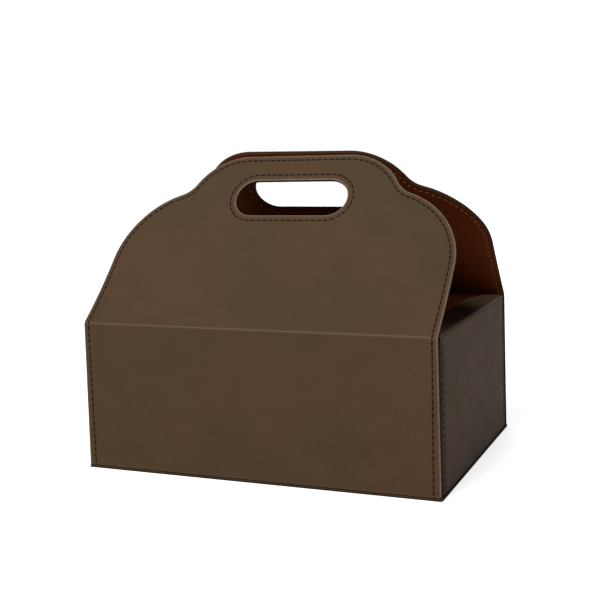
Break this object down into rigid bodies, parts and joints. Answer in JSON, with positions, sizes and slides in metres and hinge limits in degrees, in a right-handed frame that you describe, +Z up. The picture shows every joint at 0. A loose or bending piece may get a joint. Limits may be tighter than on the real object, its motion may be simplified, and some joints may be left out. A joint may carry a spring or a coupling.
{
  "type": "gable carry tray",
  "caption": "Open-ended gable carry box in stitched brown leatherette on board, with handle flaps that meet over the tray and level dust flaps at its ends.",
  "frame": {"origin": "centre of the underside of the base, on the surface that the tray stands on", "axes": "+X along the length to the right seen from the front, +Y to the back, +Z up"},
  "size_m": [0.301, 0.225, 0.2534],
  "materials": {
    "brown_leatherette": "smooth, low sheen, with brown-black stitching",
    "greyboard": "raw cut edge, light beige",
    "tan_lining": "satin, tan"
  },
  "bodies": {
    "tray": {"base_cover": "brown_leatherette", "base_board": "greyboard", "base_lining": "tan_lining", "front_wall_cover": "brown_leatherette", "front_wall_board": "greyboard", "front_wall_lining": "tan_lining", "back_wall_cover": "brown_leatherette", "back_wall_board": "greyboard", "back_wall_lining": "tan_lining", "left_end_cover": "brown_leatherette", "left_end_board": "greyboard", "left_end_lining": "tan_lining", "right_end_cover": "brown_leatherette", "right_end_board": "greyboard", "right_end_lining": "tan_lining"},
    "front_flap": {"front_flap_cover": "brown_leatherette", "front_flap_board": "greyboard", "front_flap_lining": "tan_lining"},
    "back_flap": {"back_flap_cover": "brown_leatherette", "back_flap_board": "greyboard", "back_flap_lining": "tan_lining"}
  },
  "joints": [
    {"name": "front_flap_crease", "type": "hinge", "parent": "tray", "child": "front_flap", "pos_m": [0, -0.112, 0.1215], "axis": [1, 0, 0], "range_deg": [0, 140]},
    {"name": "back_flap_crease", "type": "hinge", "parent": "tray", "child": "back_flap", "pos_m": [0, 0.112, 0.1215], "axis": [-1, 0, 0], "range_deg": [0, 140]}
  ]
}
